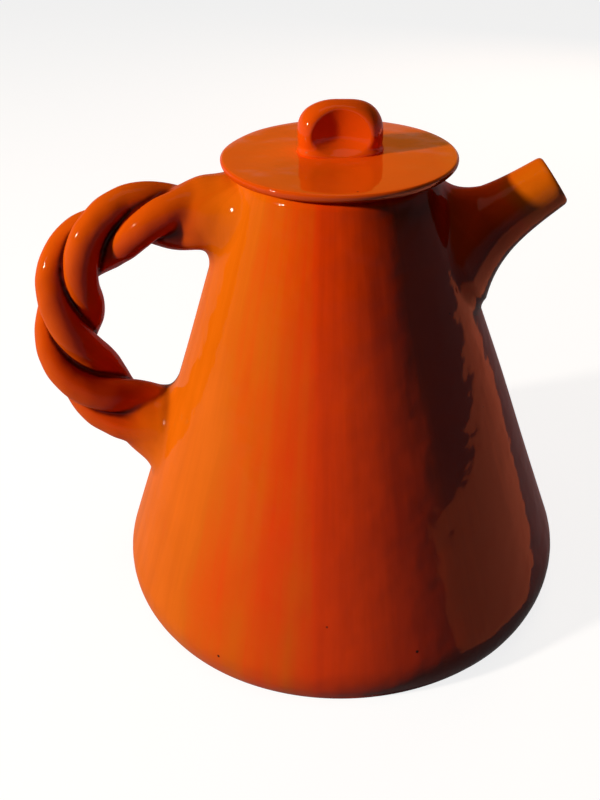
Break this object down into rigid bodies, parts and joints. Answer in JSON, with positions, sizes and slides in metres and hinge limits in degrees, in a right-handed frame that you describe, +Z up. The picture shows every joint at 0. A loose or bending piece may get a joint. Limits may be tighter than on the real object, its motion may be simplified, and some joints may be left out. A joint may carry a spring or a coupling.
{
  "type": "tea and coffee pot",
  "caption": "Glazed earthenware pot with a conical body, flared spout, twisted rope handle and a flat lift-off lid with a pinched knob, for brewing and pouring tea or coffee.",
  "frame": {"origin": "on the pot's axis, in the flat plane of its foot", "axes": "+Z up along the pot's axis, +X towards the spout, -X towards the handle"},
  "size_m": [0.1982, 0.174, 0.185],
  "materials": {
    "glaze": "glossy honey-orange glaze over red earthenware",
    "bare_clay": "unglazed red earthenware on the underside"
  },
  "bodies": {
    "pot": {"body_wall": "glaze", "floor_slab": "bare_clay", "spout": "glaze", "upper_root": "glaze", "lower_root": "glaze", "handle_strand_1": "glaze", "handle_strand_2": "glaze", "handle_strand_3": "glaze"},
    "lid": {"lid_plate": "glaze", "locating_ring": "glaze", "lid_knob": "glaze"}
  },
  "joints": [
    {"name": "lid_lift", "type": "slide", "parent": "pot", "child": "lid", "axis": [0, 0, 1], "range_m": [0, 0.1]}
  ]
}
